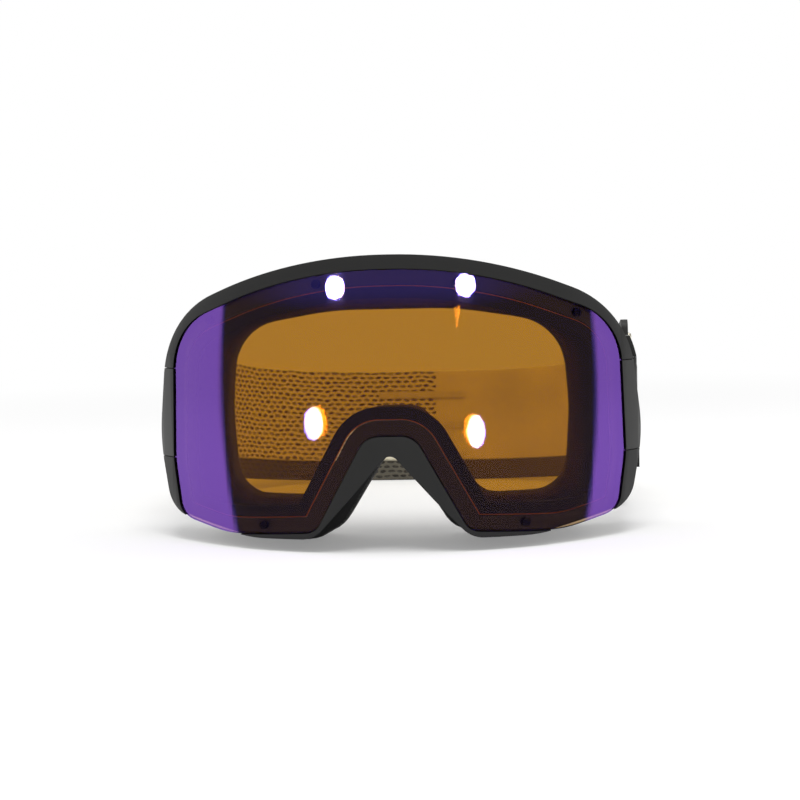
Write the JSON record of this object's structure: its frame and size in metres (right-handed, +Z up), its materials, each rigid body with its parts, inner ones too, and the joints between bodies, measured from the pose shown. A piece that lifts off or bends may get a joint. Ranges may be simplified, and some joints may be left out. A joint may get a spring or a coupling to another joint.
{
  "type": "ski goggles",
  "caption": "Full-width ski goggles with a cylindrical mirrored dual lens in a dark frame, foam face seal and elastic strap loop.",
  "frame": {"origin": "on the ground under the middle of the whole: half-way between the front of the rim and the back of the strap, on the plane the cheek lobes rest on", "axes": "+Z up, +Y from the lens towards the back of the head, +X to the right of someone facing the lens"},
  "size_m": [0.1776, 0.2078, 0.1009],
  "materials": {
    "frame_moulding": "matte",
    "wall_moulding": "matte",
    "ear_plastic": "matte",
    "rivet_steel": "satin",
    "pin_steel": "satin",
    "magnet_nickel": "polished",
    "firm_foam": "matte",
    "soft_foam": "matte",
    "fleece": "matte",
    "vent_foam": "matte",
    "strap_knit": "matte",
    "silicone": "satin",
    "outer_lens_tint": "gloss",
    "inner_lens_tint": "gloss",
    "gasket": "matte",
    "clip_plastic": "satin",
    "slider_plastic": "satin"
  },
  "bodies": {
    "goggle_frame": {"front_rim": "frame_moulding", "temple_left": "frame_moulding", "temple_right": "frame_moulding", "side_wall": "wall_moulding", "face_flange": "wall_moulding", "strap_ear_left": "ear_plastic", "strap_ear_right": "ear_plastic", "ear_rivets": "rivet_steel", "clip_pins": "pin_steel", "frame_magnets": "magnet_nickel", "face_foam_base": "firm_foam", "face_foam_soft": "soft_foam", "face_fleece": "fleece", "brow_vent_foam": "vent_foam", "cheek_vent_foam_left": "vent_foam", "cheek_vent_foam_right": "vent_foam", "strap_band": "strap_knit", "strap_return_left": "strap_knit", "strap_return_right": "strap_knit", "silicone_grip": "silicone"},
    "lens": {"outer_lens": "outer_lens_tint", "lens_gasket": "gasket", "inner_lens": "inner_lens_tint", "lens_magnets": "magnet_nickel"},
    "clip_left": {"lens_clip_left": "clip_plastic"},
    "clip_right": {"lens_clip_right": "clip_plastic"},
    "strap_slider_left": {"slider_left": "slider_plastic"},
    "strap_slider_right": {"slider_right": "slider_plastic"}
  },
  "joints": [
    {"name": "lens_release", "type": "slide", "parent": "goggle_frame", "child": "lens", "axis": [0, -1, 0], "range_m": [0, 0.06]},
    {"name": "clip_right_lift", "type": "hinge", "parent": "goggle_frame", "child": "clip_right", "pos_m": [0.0852, -0.04635, 0.046], "axis": [0, 0, 1], "range_deg": [0, 15], "stiffness_Nm_per_rad": 0.02},
    {"name": "clip_left_lift", "type": "hinge", "parent": "goggle_frame", "child": "clip_left", "pos_m": [-0.0852, -0.04635, 0.046], "axis": [0, 0, -1], "range_deg": [0, 15], "stiffness_Nm_per_rad": 0.02},
    {"name": "slider_right_adjust", "type": "slide", "parent": "goggle_frame", "child": "strap_slider_right", "axis": [-0.0872, 0.9819, -0.1682], "range_m": [0, 0.02]},
    {"name": "slider_left_adjust", "type": "slide", "parent": "goggle_frame", "child": "strap_slider_left", "axis": [0.0872, 0.9819, -0.1682], "range_m": [0, 0.02]}
  ]
}
